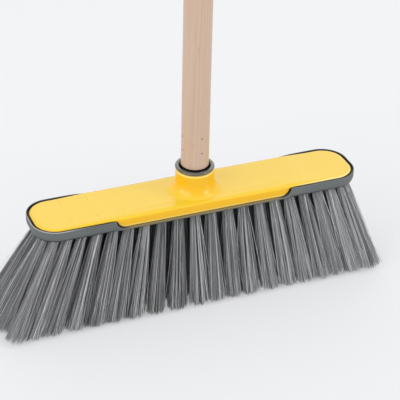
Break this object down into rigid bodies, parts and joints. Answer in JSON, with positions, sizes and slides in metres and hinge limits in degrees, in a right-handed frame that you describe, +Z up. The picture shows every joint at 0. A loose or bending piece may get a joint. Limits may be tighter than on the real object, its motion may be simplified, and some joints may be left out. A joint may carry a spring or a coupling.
{
  "type": "broom",
  "caption": "Indoor push broom: round wooden handle screwed upright into a long flat moulded head with splayed bristle tufts below.",
  "frame": {"origin": "on the floor under the handle's axis, at the trimmed tips of the bristles", "axes": "+X along the head, -Y towards its front, +Z up the handle"},
  "size_m": [0.3603, 0.0772, 1.2946],
  "materials": {
    "handle_wood": "thin satin lacquer over pale turned wood",
    "socket_plastic": "moulded, satin",
    "cover_plastic": "moulded, glossy yellow",
    "bumper_rubber": "soft moulded rubber, matt",
    "block_plastic": "moulded, satin",
    "bristle": "drawn grey filament with flagged tips"
  },
  "bodies": {
    "head": {"threaded_socket": "socket_plastic", "top_cover": "cover_plastic", "bumper": "bumper_rubber", "bristle_block": "block_plastic", "bristles_front_outer": "bristle", "bristles_front": "bristle", "bristles_middle": "bristle", "bristles_back": "bristle", "bristles_back_outer": "bristle"},
    "handle": {"handle": "handle_wood"}
  },
  "joints": [
    {"name": "handle_unscrew", "type": "slide", "parent": "head", "child": "handle", "axis": [0, 0, 1], "range_m": [0, 0.0285]}
  ]
}
